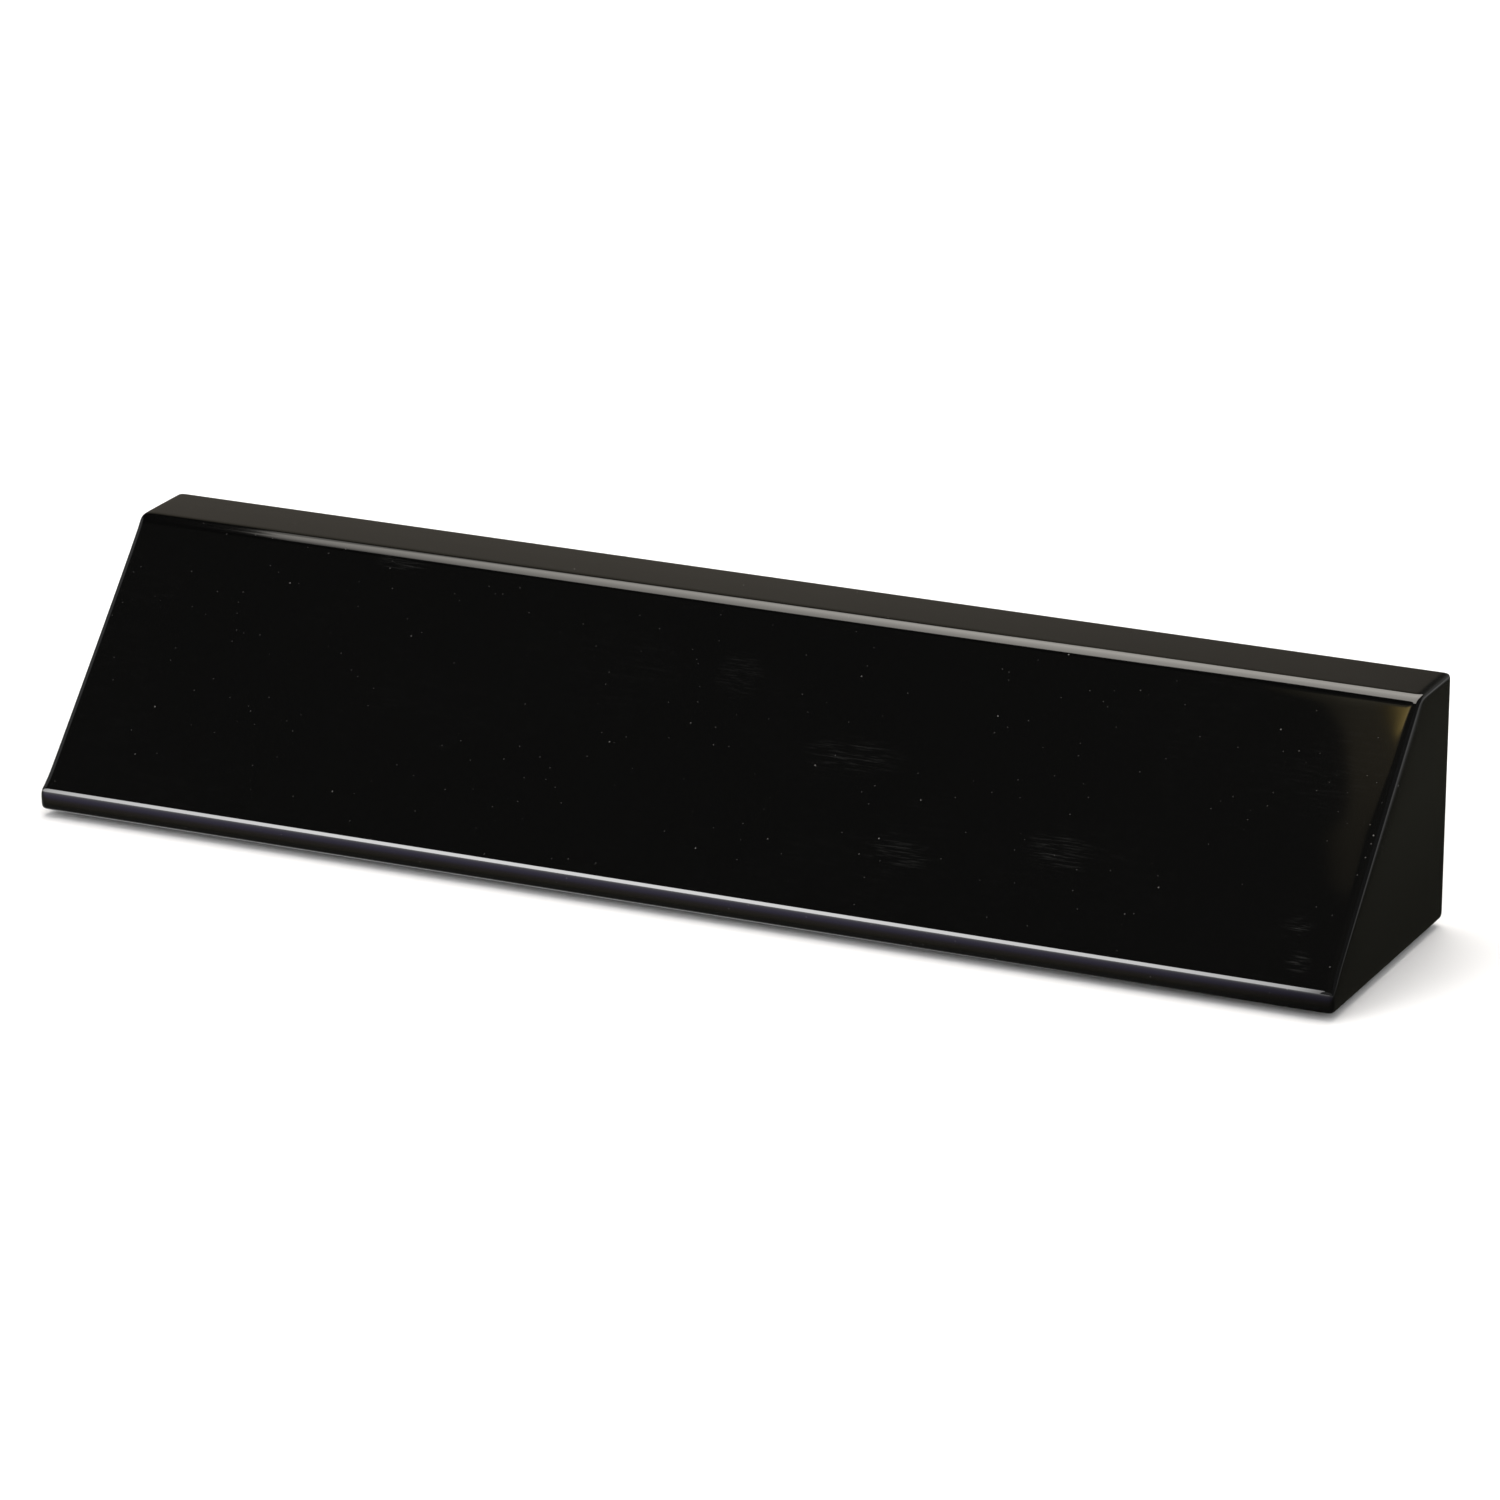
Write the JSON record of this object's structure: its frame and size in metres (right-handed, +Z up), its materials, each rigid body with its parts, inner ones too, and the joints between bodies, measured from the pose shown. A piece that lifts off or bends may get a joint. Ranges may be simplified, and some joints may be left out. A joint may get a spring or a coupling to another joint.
{
  "type": "desk name plate wedge",
  "caption": "Long gloss black desk name-plate wedge: upright back, narrow flat top, sloping polished front that carries an engraved plate, small front lip and a felt pad underneath.",
  "frame": {"origin": "on the table, under the middle of the wedge's footprint, at the underside of the felt pad", "axes": "+X along the wedge's length, +Y towards its upright back, +Z up; the sloping plate face looks towards -Y and +Z"},
  "size_m": [0.2666, 0.0588, 0.0496],
  "materials": {
    "black_lacquer": "polished",
    "fibreboard": "matte",
    "black_felt": "matte"
  },
  "bodies": {
    "root": {"lacquer_shell": "black_lacquer", "core_plank_upper": "fibreboard", "core_plank_middle": "fibreboard", "core_plank_lower": "fibreboard", "felt_base": "black_felt"}
  },
  "joints": []
}
